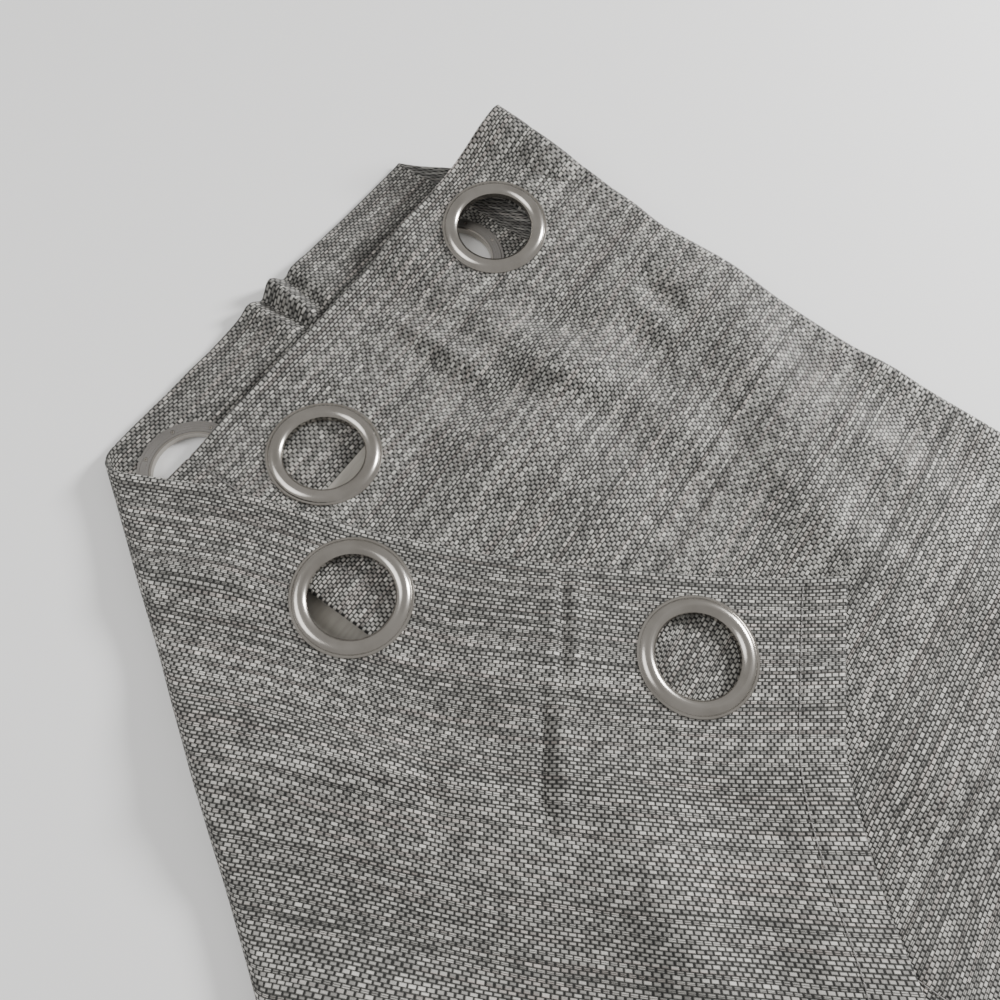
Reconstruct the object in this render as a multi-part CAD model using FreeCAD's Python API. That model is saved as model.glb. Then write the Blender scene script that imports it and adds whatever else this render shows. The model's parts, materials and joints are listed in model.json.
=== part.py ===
"""Lined curtain panel with six metal eyelet rings, folded up and lying on a flat surface.

Millimetres, +Z up.  The panel is folded twice across its width (a base run lying face down,
a front run turned back over it, and a diagonal corner flap on top) and its length beyond
the flap is folded under in a zigzag.  The layout below is worked out in cloth coordinates:
x is the distance down the panel from its top edge and y is the distance across the panel
from its left edge, both measured along the base run.  The last step moves the model so that
its origin is the bottom centre of its box.
"""
import FreeCAD, Part
import math
import os

os.makedirs("parts", exist_ok=True)

# ---- the panel as it was cut and sewn ----
PANEL_WIDTH = 965.0
PANEL_LENGTH = 2134.0
RING_PITCH = 165.0
RING_FROM_SIDE = 70.0
RING_FROM_TOP = 42.0
HEADER_DEPTH = 100.0
SIDE_HEM = 25.0
BOTTOM_HEM = 90.0

# ---- plies, as soft slabs that hold a little air ----
PLY = 0.7
CLOTH = 2 * PLY
BASE_FACE = 3.5
BASE_TOP = BASE_FACE + PLY

# ---- the eyelet ring ----
BORE_RADIUS = 20.75
BARREL_WALL = 1.2
RING_RADIUS = 29.4
LIP_HEIGHT = 0.8
DOME_HEIGHT = 2.8
DOME_FOOT_RADIUS = 28.2
DOME_TOP_RADIUS = 24.4
BORE_TOP = 0.9
WASHER_RADIUS = 28.2
WASHER_THICKNESS = 1.4
WASHER_STEP_RADIUS = 26.9
WASHER_STEP = 0.5
BARREL_CLEARANCE = 0.15
PIN_COUNT = 8
PIN_CIRCLE = 24.9
PIN_RADIUS = 1.0
PIN_CLEARANCE = 0.15
PIN_DIMPLE = 0.45

# ---- the folded layout ----
SIDE_FOLD_Y = 664.0
SIDE_FOLD_BULGE = 8.0
SHOULDER_SHARE = 0.75
SHOULDER_RISE = 0.15
FRONT_EDGE_Y = 386.0
FRONT_TOP_X = 36.0
FRONT_BASE_Z = 7.2
FRONT_LIFT_Y = 547.0
FRONT_LIFT = 17.5
LIFT_END_X = 320.0
FLAP_FOLD_U = 380.0
FLAP_FOLD_ANGLE = 31.5
FLAP_TAKE_UP = 12.0
FLAP_Z = 11.5
FLAP_HEADER_ANGLE = 26.2
RAMP_START_X = 600.0
LENGTH_FOLDS = 4
FIRST_BEND_X = 948.0
FOLD_PITCH_SINGLE = 2.3
FOLD_PITCH_DOUBLE = 4.4
FAR_FRONT_GAP = 0.3
PILE_GAP = 0.2
BEND_BULGE = 6.0
DOUBLE_START_Y = 386.0
DOUBLE_FULL_Y = 420.0

# ---- how the folding has moved and tipped some rings ----
PINCH_DOWN = 26.0
PINCH_ACROSS = 20.0
LAST_RINGS_SAG = 11.0
LAST_RINGS_GATHER = 1.5
RING_FROM_SIDE_FOLD = 55.0
RING_LEAN = {1: (0.030, 0.020), 2: (0.034, -0.005), 6: (-0.015, 0.045)}

FLAP_TOP_Z = FLAP_Z + CLOTH
FOLD_RADIUS = FLAP_TOP_Z / 2
FOLD_END_X = FIRST_BEND_X - (PANEL_LENGTH - FIRST_BEND_X) / LENGTH_FOLDS
RAMP_END_X = FOLD_END_X - BEND_BULGE - 1.0

# the slanted line of the diagonal fold, from the top edge to the left side
fold_angle = math.radians(FLAP_FOLD_ANGLE)
fold_start = FreeCAD.Vector(0, FLAP_FOLD_U + FOLD_RADIUS / math.cos(fold_angle), 0)
fold_along = FreeCAD.Vector(math.cos(fold_angle), -math.sin(fold_angle), 0)
fold_inward = FreeCAD.Vector(-fold_along.y, fold_along.x, 0)

# the flap's own axes: along its top edge, and down its warp
header_angle = math.radians(FLAP_HEADER_ANGLE)
flap_along = FreeCAD.Vector(math.cos(header_angle), math.sin(header_angle), 0)
flap_down = FreeCAD.Vector(flap_along.y, -flap_along.x, 0)
flap_origin = FreeCAD.Vector(0, FLAP_FOLD_U - FLAP_TAKE_UP, 0)

nodes = {}


def fraction(value, start, end):
    """How far value has gone from start to end, held between 0 and 1."""
    return min(1.0, max(0.0, (value - start) / (end - start)))


def pile_height(y, pitch_count):
    """Height of a stack of folded lengths: double cloth on the right, single on the left."""
    share = fraction(y, DOUBLE_START_Y, DOUBLE_FULL_Y)
    return pitch_count * (FOLD_PITCH_SINGLE + share * (FOLD_PITCH_DOUBLE - FOLD_PITCH_SINGLE))


def base_z(x, y):
    """Underside of the base run: on the surface, then up over the folded length."""
    return fraction(x, RAMP_START_X, RAMP_END_X) * pile_height(y, LENGTH_FOLDS)


def front_z(x, y):
    """Underside of the front run, which stands higher towards the open side fold."""
    gap = FRONT_BASE_Z + fraction(x, LIFT_END_X, RAMP_START_X) * (BASE_TOP + FAR_FRONT_GAP - FRONT_BASE_Z)
    open_share = 1.0 - fraction(x, FRONT_TOP_X, LIFT_END_X)
    lift = FRONT_LIFT * open_share * max(0.0, (y - FRONT_LIFT_Y) / (SIDE_FOLD_Y - FRONT_LIFT_Y))
    return base_z(x, y) + gap + lift


def slab(stations, breaks, surface, low, high):
    """A soft slab over a surface, from low to high above it, as ruled spans along x."""
    wires = []
    for x in stations:
        points = [FreeCAD.Vector(x, y, surface(x, y) + low) for y in breaks]
        points += [FreeCAD.Vector(x, y, surface(x, y) + high) for y in reversed(breaks)]
        wires.append(Part.makePolygon(points + points[:1]))
    spans = [Part.makeLoft([a, b], True, True) for a, b in zip(wires, wires[1:])]
    solid = spans[0]
    for span in spans[1:]:
        solid = solid.fuse(span)
    return solid.removeSplitter()


def prism(points, low, high):
    """An upright prism over an outline."""
    outline = [FreeCAD.Vector(p.x, p.y, low) for p in points]
    face = Part.Face(Part.makePolygon(outline + outline[:1]))
    return face.extrude(FreeCAD.Vector(0, 0, high - low))


def on_flap(across, down):
    """A point of the flap, from its top corner at the fold."""
    return flap_origin + flap_along * across + flap_down * down


def meet_fold(across):
    """How far down the flap the fold line is, at a distance across from its left end."""
    start = on_flap(across, 0)
    return (start - fold_start).dot(fold_inward) / -flap_down.dot(fold_inward)


def across_fold(down):
    """How far across the flap the fold line is, at a distance down it."""
    start = on_flap(0, down)
    return (fold_start - start).dot(fold_inward) / flap_along.dot(fold_inward)


# ---- rings ----

def revolve(edges):
    face = Part.Face(Part.Wire(edges))
    return face.revolve(FreeCAD.Vector(0, 0, 0), FreeCAD.Vector(0, 0, 1), 360)


def profile_line(a, b):
    return Part.LineSegment(FreeCAD.Vector(a[0], 0, a[1]), FreeCAD.Vector(b[0], 0, b[1])).toShape()


def around_pins(radius, low, high):
    """One short cylinder at each pin's place."""
    pins = []
    for index in range(PIN_COUNT):
        angle = 2 * math.pi * (index + 0.5) / PIN_COUNT
        centre = FreeCAD.Vector(PIN_CIRCLE * math.cos(angle), PIN_CIRCLE * math.sin(angle), low)
        pins.append(Part.makeCylinder(radius, high - low, centre))
    return Part.makeCompound(pins)


def ring_front():
    """Domed front ring with a thin lip, its barrel and its pins; the cloth's face is at z = 0."""
    barrel = BORE_RADIUS + BARREL_WALL
    foot = -(CLOTH + WASHER_THICKNESS)
    crown = Part.Arc(
        FreeCAD.Vector(BORE_RADIUS, 0, BORE_TOP),
        FreeCAD.Vector(DOME_TOP_RADIUS, 0, DOME_HEIGHT),
        FreeCAD.Vector(DOME_FOOT_RADIUS, 0, LIP_HEIGHT),
    ).toShape()
    corners = [
        (DOME_FOOT_RADIUS, LIP_HEIGHT),
        (RING_RADIUS - 0.3, LIP_HEIGHT),
        (RING_RADIUS, LIP_HEIGHT - 0.3),
        (RING_RADIUS, 0.0),
        (barrel, 0.0),
        (barrel, foot),
        (BORE_RADIUS, foot),
        (BORE_RADIUS, BORE_TOP),
    ]
    edges = [crown] + [profile_line(a, b) for a, b in zip(corners, corners[1:])]
    ring = revolve(edges).fuse(around_pins(PIN_RADIUS, foot, LIP_HEIGHT / 2))
    return ring.cut(around_pins(PIN_DIMPLE, foot, foot + WASHER_THICKNESS / 2)).removeSplitter()


def ring_back():
    """Flat back ring with a stepped rim, which the barrel and pins pass through."""
    inner = BORE_RADIUS + BARREL_WALL + BARREL_CLEARANCE
    foot = -(CLOTH + WASHER_THICKNESS)
    corners = [
        (inner, -CLOTH),
        (WASHER_RADIUS, -CLOTH),
        (WASHER_RADIUS, foot + WASHER_STEP),
        (WASHER_STEP_RADIUS, foot + WASHER_STEP),
        (WASHER_STEP_RADIUS - 0.4, foot),
        (inner, foot),
        (inner, -CLOTH),
    ]
    ring = revolve([profile_line(a, b) for a, b in zip(corners, corners[1:])])
    return ring.cut(around_pins(PIN_RADIUS + PIN_CLEARANCE, foot, -CLOTH))


def ring_space():
    """All the room a ring takes in the cloth, with its bore and pins filled."""
    foot = -(CLOTH + WASHER_THICKNESS)
    space = Part.makeCylinder(RING_RADIUS, DOME_HEIGHT + 0.4, FreeCAD.Vector(0, 0, 0))
    space = space.fuse(Part.makeCylinder(BORE_RADIUS + BARREL_WALL, -foot, FreeCAD.Vector(0, 0, foot)))
    space = space.fuse(Part.makeCylinder(WASHER_RADIUS, WASHER_THICKNESS, FreeCAD.Vector(0, 0, foot)))
    return space.fuse(around_pins(PIN_RADIUS, foot, 0.0))


def ring_placement(place, normal):
    turn = FreeCAD.Rotation(FreeCAD.Vector(0, 0, 1), normal)
    return FreeCAD.Placement(place, turn)


def surface_normal(surface, x, y):
    slope_x = (surface(x + 1, y) - surface(x - 1, y)) / 2
    slope_y = (surface(x, y + 1) - surface(x, y - 1)) / 2
    return FreeCAD.Vector(-slope_x, -slope_y, 1).normalize()


def across_of(number):
    """Distance of ring 1 to 6 from the panel's left side."""
    return RING_FROM_SIDE + (number - 1) * RING_PITCH


def leaning(number):
    """The way a ring faces where the cloth under it is not level."""
    x, y = RING_LEAN[number]
    return FreeCAD.Vector(x, y, 1).normalize()


def ring_seats():
    """Where each ring sits: the point on the cloth's face under it, and the way it faces."""
    seats = {}
    for number in (1, 2):
        place = on_flap(FLAP_FOLD_U - across_of(number), RING_FROM_TOP)
        place.z = FLAP_TOP_Z
        seats[number] = (place, leaning(number), "flap")
    # The header is pinched up between the two base rings, which pushes the second one over.
    for number, down, across in ((3, 0.0, 0.0), (4, PINCH_DOWN, PINCH_ACROSS)):
        place = FreeCAD.Vector(RING_FROM_TOP + down, across_of(number) + across, BASE_TOP - CLOTH)
        seats[number] = (place, FreeCAD.Vector(0, 0, -1), "base")
    x, y = FRONT_TOP_X + RING_FROM_TOP, SIDE_FOLD_Y - RING_FROM_SIDE_FOLD
    place = FreeCAD.Vector(x, y, front_z(x, y) + CLOTH)
    seats[5] = (place, surface_normal(front_z, x, y), "front")
    x, y = x + LAST_RINGS_SAG, y - RING_PITCH + LAST_RINGS_GATHER
    place = FreeCAD.Vector(x, y, front_z(x, y) + CLOTH)
    seats[6] = (place, leaning(6), "front")
    return seats


seats = ring_seats()


def fit_rings(cloth, run):
    """Cut the room of a run's rings out of one of its plies."""
    for place, normal, seat_run in seats.values():
        if seat_run == run:
            space = ring_space()
            space.Placement = ring_placement(place, normal)
            cloth = cloth.cut(space)
    return cloth


def make_rings():
    for number, (place, normal, run) in seats.items():
        for name, maker in (("ring_front_", ring_front), ("ring_back_", ring_back)):
            ring = maker()
            ring.Placement = ring_placement(place, normal)
            nodes[name + str(number)] = ring


# ---- base run: bottom layer, face down ----

def left_of_fold(low, high):
    """The cloth that the diagonal fold has taken away, as a cutting prism."""
    end = fold_start + fold_along * 900
    away = fold_start - fold_along * 60
    points = [away, end, end - fold_inward * 700, away - fold_inward * 700]
    return prism(points, low, high)


def make_base_run():
    cutter = left_of_fold(-5, 60)
    stations = [0.0, RAMP_START_X, RAMP_END_X, FIRST_BEND_X]
    breaks = [0.0, DOUBLE_START_Y, DOUBLE_FULL_Y, SIDE_FOLD_Y]
    face = slab(stations[:2], breaks, base_z, 0.0, BASE_FACE)
    nodes["base_run_face"] = fit_rings(face.cut(cutter), "base")
    nodes["base_far_face"] = slab(stations[1:], breaks, base_z, 0.0, BASE_FACE).cut(cutter)
    header = slab([0.0, HEADER_DEPTH], breaks, base_z, BASE_FACE, BASE_TOP)
    nodes["base_header_band"] = fit_rings(header.cut(cutter), "base")
    breaks = [SIDE_HEM] + breaks[1:]
    stations = [HEADER_DEPTH] + stations[1:]
    nodes["base_run_lining"] = slab(stations, breaks, base_z, BASE_FACE, BASE_TOP).cut(cutter)
    hem = slab(stations, [0.0, SIDE_HEM], base_z, BASE_FACE, BASE_TOP)
    nodes["base_side_hem"] = hem.cut(cutter)


# ---- front run: turned back over the base run, face up ----

def make_front_run():
    ends = [LIFT_END_X, RAMP_START_X, RAMP_END_X, FIRST_BEND_X]
    low_breaks = [FRONT_EDGE_Y + SIDE_HEM, DOUBLE_FULL_Y, FRONT_LIFT_Y, SIDE_FOLD_Y]
    all_breaks = [FRONT_EDGE_Y] + low_breaks[1:]
    near = slab([FRONT_TOP_X, LIFT_END_X], all_breaks[:3], front_z, PLY, CLOTH)
    middle = slab(ends[:2], all_breaks, front_z, PLY, CLOTH)
    corner = slab([FRONT_TOP_X, LIFT_END_X], all_breaks[2:], front_z, PLY, CLOTH)
    nodes["front_run_face"] = fit_rings(near.fuse(middle).removeSplitter(), "front")
    nodes["front_corner_face"] = fit_rings(corner, "front")
    nodes["front_far_face"] = slab(ends[1:], all_breaks, front_z, PLY, CLOTH)
    band_end = FRONT_TOP_X + HEADER_DEPTH
    band = slab([FRONT_TOP_X, band_end], all_breaks, front_z, 0.0, PLY)
    nodes["front_header_band"] = fit_rings(band, "front")
    nodes["front_run_lining"] = slab([band_end] + ends, low_breaks, front_z, 0.0, PLY)
    hem_breaks = [FRONT_EDGE_Y, FRONT_EDGE_Y + SIDE_HEM]
    nodes["front_side_hem"] = slab([band_end] + ends, hem_breaks, front_z, 0.0, PLY)


def make_side_fold():
    """The soft open fold along the right side, from the base run up to the front run."""
    wires = []
    for x in (FRONT_TOP_X, LIFT_END_X, RAMP_START_X, RAMP_END_X, FIRST_BEND_X):
        low = base_z(x, SIDE_FOLD_Y)
        high = front_z(x, SIDE_FOLD_Y) + CLOTH
        inset = SIDE_FOLD_BULGE - CLOTH
        middle = (low + high) / 2
        shoulder = (high - low) * SHOULDER_RISE
        outer = [(0, low), (SIDE_FOLD_BULGE * SHOULDER_SHARE, low + shoulder), (SIDE_FOLD_BULGE, middle)]
        outer += [(SIDE_FOLD_BULGE * SHOULDER_SHARE, high - shoulder), (0, high)]
        inner = [(0, high - CLOTH), (inset * SHOULDER_SHARE, high - shoulder - CLOTH)]
        inner += [(inset, middle), (inset * SHOULDER_SHARE, low + shoulder + CLOTH), (0, low + CLOTH)]
        points = [FreeCAD.Vector(x, SIDE_FOLD_Y + across, z) for across, z in outer + inner]
        wires.append(Part.makePolygon(points + points[:1]))
    spans = [Part.makeLoft([a, b], True, True) for a, b in zip(wires, wires[1:])]
    fold = spans[0]
    for span in spans[1:]:
        fold = fold.fuse(span)
    nodes["side_fold"] = fold


# ---- flap: the top-left corner, turned over on the diagonal fold ----

def make_flap():
    side = FLAP_FOLD_U
    hem = side - SIDE_HEM
    middle = FLAP_Z + PLY
    top_on_fold = on_flap(across_fold(0.0), 0.0)
    header_on_fold = on_flap(across_fold(HEADER_DEPTH), HEADER_DEPTH)
    side_on_fold = on_flap(side, meet_fold(side))
    hem_on_fold = on_flap(hem, meet_fold(hem))
    hem_below_header = on_flap(hem, HEADER_DEPTH)
    side_below_header = on_flap(side, HEADER_DEPTH)
    face = prism([top_on_fold, on_flap(side, 0.0), side_on_fold], middle, FLAP_TOP_Z)
    nodes["flap_face"] = fit_rings(face, "flap")
    band = prism([top_on_fold, on_flap(side, 0.0), side_below_header, header_on_fold], FLAP_Z, middle)
    nodes["flap_header_band"] = fit_rings(band, "flap")
    nodes["flap_lining"] = prism([header_on_fold, hem_below_header, hem_on_fold], FLAP_Z, middle)
    hem_outline = [hem_below_header, side_below_header, side_on_fold, hem_on_fold]
    nodes["flap_side_hem"] = prism(hem_outline, FLAP_Z, middle)


def make_flap_fold():
    """The soft bend along the diagonal: half a tube from the base run up to the flap."""
    length = (fold_start.y - 6.0) / -fold_along.y
    centre = FreeCAD.Vector(0, 0, FOLD_RADIUS)
    outer = Part.makeCylinder(FOLD_RADIUS, length, fold_start + centre, fold_along)
    inner = Part.makeCylinder(FOLD_RADIUS - CLOTH, length, fold_start + centre, fold_along)
    inside = [fold_start - fold_along * 30, fold_start + fold_along * (length + 30)]
    inside += [inside[1] + fold_inward * 30, inside[0] + fold_inward * 30]
    before = Part.makeBox(60, 120, 60, FreeCAD.Vector(-60, fold_start.y - 60, -5))
    nodes["flap_fold"] = outer.cut(inner).cut(prism(inside, -5, 40)).cut(before)


# ---- the rest of the length, folded to and fro under the far end ----

def pile_slab(start, end, level):
    """One flat length of the folded pile, from start to end along x."""
    breaks = [0.0, DOUBLE_START_Y, DOUBLE_FULL_Y, SIDE_FOLD_Y]
    wires = []
    for x in (start, end):
        points = [FreeCAD.Vector(x, y, pile_height(y, level)) for y in breaks]
        points += [FreeCAD.Vector(x, y, pile_height(y, level + 1) - PILE_GAP) for y in reversed(breaks)]
        wires.append(Part.makePolygon(points + points[:1]))
    return Part.makeLoft(wires, True, True)


def make_length_folds():
    hem_start = FIRST_BEND_X - BOTTOM_HEM
    for level in range(LENGTH_FOLDS):
        end = hem_start if level == 0 else FIRST_BEND_X
        nodes["length_fold_" + str(LENGTH_FOLDS - level)] = pile_slab(FOLD_END_X, end, level)
    nodes["bottom_hem"] = pile_slab(hem_start, FIRST_BEND_X, 0)


def bend(x, outward, low_of, high_of):
    """A rounded bend across the panel, joining two lengths that lie one over the other."""
    wires = []
    for y in (0.0, DOUBLE_START_Y, DOUBLE_FULL_Y, SIDE_FOLD_Y):
        low, high = low_of(y), high_of(y)
        depth = min(BEND_BULGE, (high - low) * 0.75) * outward
        quarter = (high - low) / 4
        section = [(0, low), (depth * 0.75, low + quarter * 0.5), (depth, low + 2 * quarter)]
        section += [(depth * 0.75, high - quarter * 0.5), (0, high)]
        points = [FreeCAD.Vector(x + across, y, z) for across, z in section]
        wires.append(Part.makePolygon(points + points[:1]))
    spans = [Part.makeLoft([a, b], True, True) for a, b in zip(wires, wires[1:])]
    return spans[0].fuse(spans[1]).fuse(spans[2])


def make_length_bends():
    def top_of_strip(y):
        single = base_z(FIRST_BEND_X, y) + BASE_TOP
        double = front_z(FIRST_BEND_X, y) + CLOTH
        return single + fraction(y, DOUBLE_START_Y, DOUBLE_FULL_Y) * (double - single)
    nodes["length_bend_1"] = bend(FIRST_BEND_X, 1, lambda y: pile_height(y, 3), top_of_strip)
    for number in range(2, LENGTH_FOLDS + 1):
        level = LENGTH_FOLDS - number
        far = number % 2 == 1
        nodes["length_bend_" + str(number)] = bend(
            FIRST_BEND_X if far else FOLD_END_X,
            1 if far else -1,
            lambda y: pile_height(y, level),
            lambda y: pile_height(y, level + 2) - PILE_GAP,
        )


make_base_run()
make_front_run()
make_side_fold()
make_flap()
make_flap_fold()
make_length_folds()
make_length_bends()
make_rings()

# ---- move to the bottom centre of the box, and write the files ----
box = FreeCAD.BoundBox()
for shape in nodes.values():
    box.add(shape.optimalBoundingBox())
shift = FreeCAD.Vector(-box.Center.x, -box.Center.y, -box.ZMin)

for name, shape in nodes.items():
    shape = shape.copy()
    shape.translate(shift)
    shape.exportStep("parts/" + name + ".step")
    print(name, "valid", shape.isValid(), "solids", len(shape.Solids), "volume %.0f" % shape.Volume)

print("box", [round(v, 2) for v in (box.XLength, box.YLength, box.ZLength)])
print("shift", [round(v, 3) for v in shift])
axis_point = fold_start + FreeCAD.Vector(0, 0, FOLD_RADIUS) + shift
print("flap hinge through", [round(v, 3) for v in axis_point], "along", [round(v, 5) for v in fold_along])
for number, (place, normal, run) in seats.items():
    print("ring", number, run, [round(v, 3) for v in place + shift], [round(v, 5) for v in normal])
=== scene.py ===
"""A lined curtain panel with metal eyelet rings, folded and lying on a pale floor.

The cloth is built in its own flat coordinates, in millimetres: u across the panel from its
left side, and v down the panel from its top edge.  Each point of the flat cloth is placed
in the folded layout, whose x runs down the base run and y across it, from its top left
corner.  The layout becomes the frame's own coordinates when a mesh is made.
"""

import json
import math

import bpy
import numpy as np
from mathutils import Matrix, Vector


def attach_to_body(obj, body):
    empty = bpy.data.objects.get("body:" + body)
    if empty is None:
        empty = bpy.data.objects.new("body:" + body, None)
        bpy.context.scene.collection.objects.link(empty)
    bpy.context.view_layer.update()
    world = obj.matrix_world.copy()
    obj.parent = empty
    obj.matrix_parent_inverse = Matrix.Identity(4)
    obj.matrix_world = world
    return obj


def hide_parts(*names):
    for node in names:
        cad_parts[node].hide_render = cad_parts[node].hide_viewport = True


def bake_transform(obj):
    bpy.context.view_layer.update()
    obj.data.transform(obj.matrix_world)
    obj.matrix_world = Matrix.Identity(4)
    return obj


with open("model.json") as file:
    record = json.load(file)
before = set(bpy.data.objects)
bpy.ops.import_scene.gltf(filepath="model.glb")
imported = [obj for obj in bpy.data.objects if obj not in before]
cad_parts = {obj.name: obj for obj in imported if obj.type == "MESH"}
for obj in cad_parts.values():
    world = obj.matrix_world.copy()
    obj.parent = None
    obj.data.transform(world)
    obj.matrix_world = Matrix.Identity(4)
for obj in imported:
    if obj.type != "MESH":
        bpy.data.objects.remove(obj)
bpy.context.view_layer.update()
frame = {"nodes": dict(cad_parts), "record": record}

MM = 0.001
CENTRE = np.array([477.0, 336.0, 0.0])

# ---- the panel, in millimetres ----
PANEL_WIDTH = 965.0
PANEL_LENGTH = 2134.0
HEADER_DEPTH = 100.0
SIDE_HEM = 25.0
BOTTOM_HEM = 90.0
BAND_SLANT = 60.0
HEM_SLANT = 40.0
FACE_TOP = 0.7
FACE_BACK = -0.05
BAND_BACK = -0.7
LINING_BACK = -0.5
EDGE_TURN = 3.0
SIDE_TURN = 2.5
HEM_RAISE = 0.35
HEM_STITCH = 21.0
GROOVE_DEPTH = 0.8
GROOVE_HALF = 1.6
STITCH_PITCH = 3.6
STITCH_LENGTH = 2.9
STITCH_RADIUS = 0.33
STITCH_SIDES = 6
STITCH_ARCH = np.array([-0.25, 0.1, 0.18, 0.1, -0.25])
HEM_COLUMNS = np.array([0.0, 1.5, 2.8, 4.0, 5.2, 6.5, 9.0, 14.0, 19.0, 23.0, 25.0])

# ---- the weave of the face cloth ----
ROW_PITCH = 1.75
DASH_PITCH = 3.3

# ---- the folded layout ----
CREASE_Y = 387.8
CREASE_ANGLE = math.radians(31.5)
CREASE_TAKE = 23.7
CREASE_BULGE = 6.0
FLAP_ORIGIN = (0.0, 368.0)
FLAP_U = 380.0
FLAP_ANGLE = math.radians(26.2)
FLAP_MIDDLE = 12.4
FLAP_FOLD_SIZE = 1.35
FLAP_LOWEST = 9.2
HEM_SWING = 48.0
BOW_RISE = 20.0
BOW_LOW = 195.0
BOW_HALF = 185.0
BOW_FADE = 110.0
BOW_LOSS = 0.75
ROLL_START = 664.0
ROLL_END = 676.0
ROLL_BULGE = 7.0
FRONT_U = (676.0, 730.0, 895.0, 965.0)
FRONT_Y = (664.0, 609.0, 445.5, 386.0)
FRONT_TOP_X = 36.0
TUCK_U = (621.0, 634.0)
FRONT_MIDDLE = 7.9
FRONT_LIFT = 17.5
FRONT_LIFT_Y = 547.0
LIFT_END_X = 320.0
FRONT_DEEPEST = -3.8
CORNER_RISE = 25.0
BASE_LOWEST = 1.1
BASE_HIGHEST = 3.2
EDGE_MEETS = 2.6
PINCH_Y = 506.0
PINCH_HALF = 26.0
PINCH_RISE = 5.0
ROLL_RISE = 3.0
RAMP_START = 600.0
RAMP_END = 644.5
FAR_BEND = 948.0
NEAR_BEND = 651.5
LEVELS = 4
BEND_HALF = 5.0
PITCH_SINGLE = 2.3
PITCH_DOUBLE = 4.4
WAVE_COUNT = 24
WAVE_SWAY = 15.0
EASED_CORNER = 2.0
SMALLEST_CELL = 0.02

# ---- the rings ----
RING_HOLE = 25.0
RING_CLEAR = 22.0
RING_FLAT = 31.0
RING_REACH = 62.0
RINGS_OF = {"base": (3, 4), "front": (5, 6), "flap": (1, 2)}

# ---- folds of each run: start, end, width and height (a hollow is negative) ----
FOLDS = {
    "base": [
        ((-14.0, 519.0), (36.0, 513.0), 5.0, -5.5),
        ((-14.0, 508.0), (34.0, 506.0), 4.5, 4.0),
        ((-14.0, 498.0), (34.0, 500.0), 4.5, -5.5),
        ((-14.0, 488.0), (34.0, 492.0), 5.0, 2.5),
        ((0.0, 440.0), (34.0, 452.0), 9.0, 1.6),
        ((4.0, 545.0), (30.0, 585.0), 10.0, 1.6),
    ],
    "front": [
        ((60.0, 531.0), (134.0, 531.0), 8.0, 5.5),
        ((86.0, 516.0), (134.0, 516.0), 8.0, -4.0),
        ((112.0, 572.0), (158.0, 590.0), 12.0, -5.5),
        ((168.0, 606.0), (208.0, 588.0), 10.0, -6.0),
        ((158.0, 634.0), (192.0, 622.0), 8.0, -5.0),
        ((122.0, 524.0), (205.0, 556.0), 12.0, -5.0),
        ((140.0, 556.0), (270.0, 566.0), 16.0, 4.5),
        ((215.0, 645.0), (330.0, 562.0), 20.0, 5.0),
        ((205.0, 612.0), (300.0, 545.0), 14.0, -4.0),
        ((58.0, 478.0), (170.0, 500.0), 12.0, 3.5),
        ((250.0, 648.0), (360.0, 640.0), 14.0, -3.5),
        ((330.0, 560.0), (480.0, 600.0), 26.0, 5.0),
        ((400.0, 480.0), (560.0, 560.0), 24.0, 5.0),
    ],
    "flap": [
        ((216.0, 463.0), (252.0, 410.0), 3.0, 1.3),
        ((224.0, 470.0), (258.0, 420.0), 3.0, 1.3),
        ((220.0, 467.0), (255.0, 415.0), 2.6, -1.1),
        ((250.0, 408.0), (282.0, 362.0), 3.6, -2.2),
        ((256.0, 412.0), (288.0, 366.0), 4.5, 1.4),
        ((150.0, 296.0), (240.0, 366.0), 12.0, 5.0),
        ((168.0, 340.0), (236.0, 380.0), 8.0, -2.4),
        ((210.0, 362.0), (252.0, 330.0), 8.0, -2.6),
        ((175.0, 258.0), (310.0, 326.0), 16.0, -2.2),
        ((300.0, 392.0), (400.0, 330.0), 20.0, 4.5),
        ((250.0, 262.0), (420.0, 240.0), 26.0, 4.5),
        ((330.0, 300.0), (460.0, 280.0), 16.0, -2.4),
        ((70.0, 350.0), (132.0, 396.0), 11.0, 3.4),
        ((262.0, 380.0), (330.0, 410.0), 14.0, 3.0),
        ((380.0, 430.0), (470.0, 290.0), 18.0, 4.0),
    ],
}

inward = np.array([math.sin(CREASE_ANGLE), math.cos(CREASE_ANGLE)])
crease_slope = math.tan(CREASE_ANGLE)
flap_along = np.array([math.cos(FLAP_ANGLE), math.sin(FLAP_ANGLE)])
flap_down = np.array([math.sin(FLAP_ANGLE), -math.cos(FLAP_ANGLE)])


def linear(value, start, end):
    """0 before start, 1 after end, and a straight rise between them."""
    return np.clip((value - start) / (end - start), 0.0, 1.0)


def smooth(value, start, end):
    """As linear, but easing in and out."""
    t = linear(value, start, end)
    return t * t * (3.0 - 2.0 * t)


def at_least(value, lowest):
    """value, eased so that it stays above lowest with no sharp corner."""
    return (value + lowest + np.sqrt((value - lowest) ** 2 + EASED_CORNER)) / 2.0


def waves(x, y, seed, shortest, longest):
    """Gentle rolling of about unit height: long sine waves in seeded directions."""
    rng = np.random.default_rng(seed)
    total = np.zeros_like(x)
    power = 0.0
    for _ in range(WAVE_COUNT):
        length = shortest * (longest / shortest) ** rng.random()
        angle, phase = rng.random(2) * math.tau
        size = length / longest
        sway = WAVE_SWAY * (np.sin(y / 71.0 + phase) + np.cos(x / 83.0 - phase))
        across = x * math.cos(angle) + y * math.sin(angle) + sway
        total += size * np.sin(across * math.tau / length + phase)
        power += size * size / 2.0
    return total / math.sqrt(power)


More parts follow.
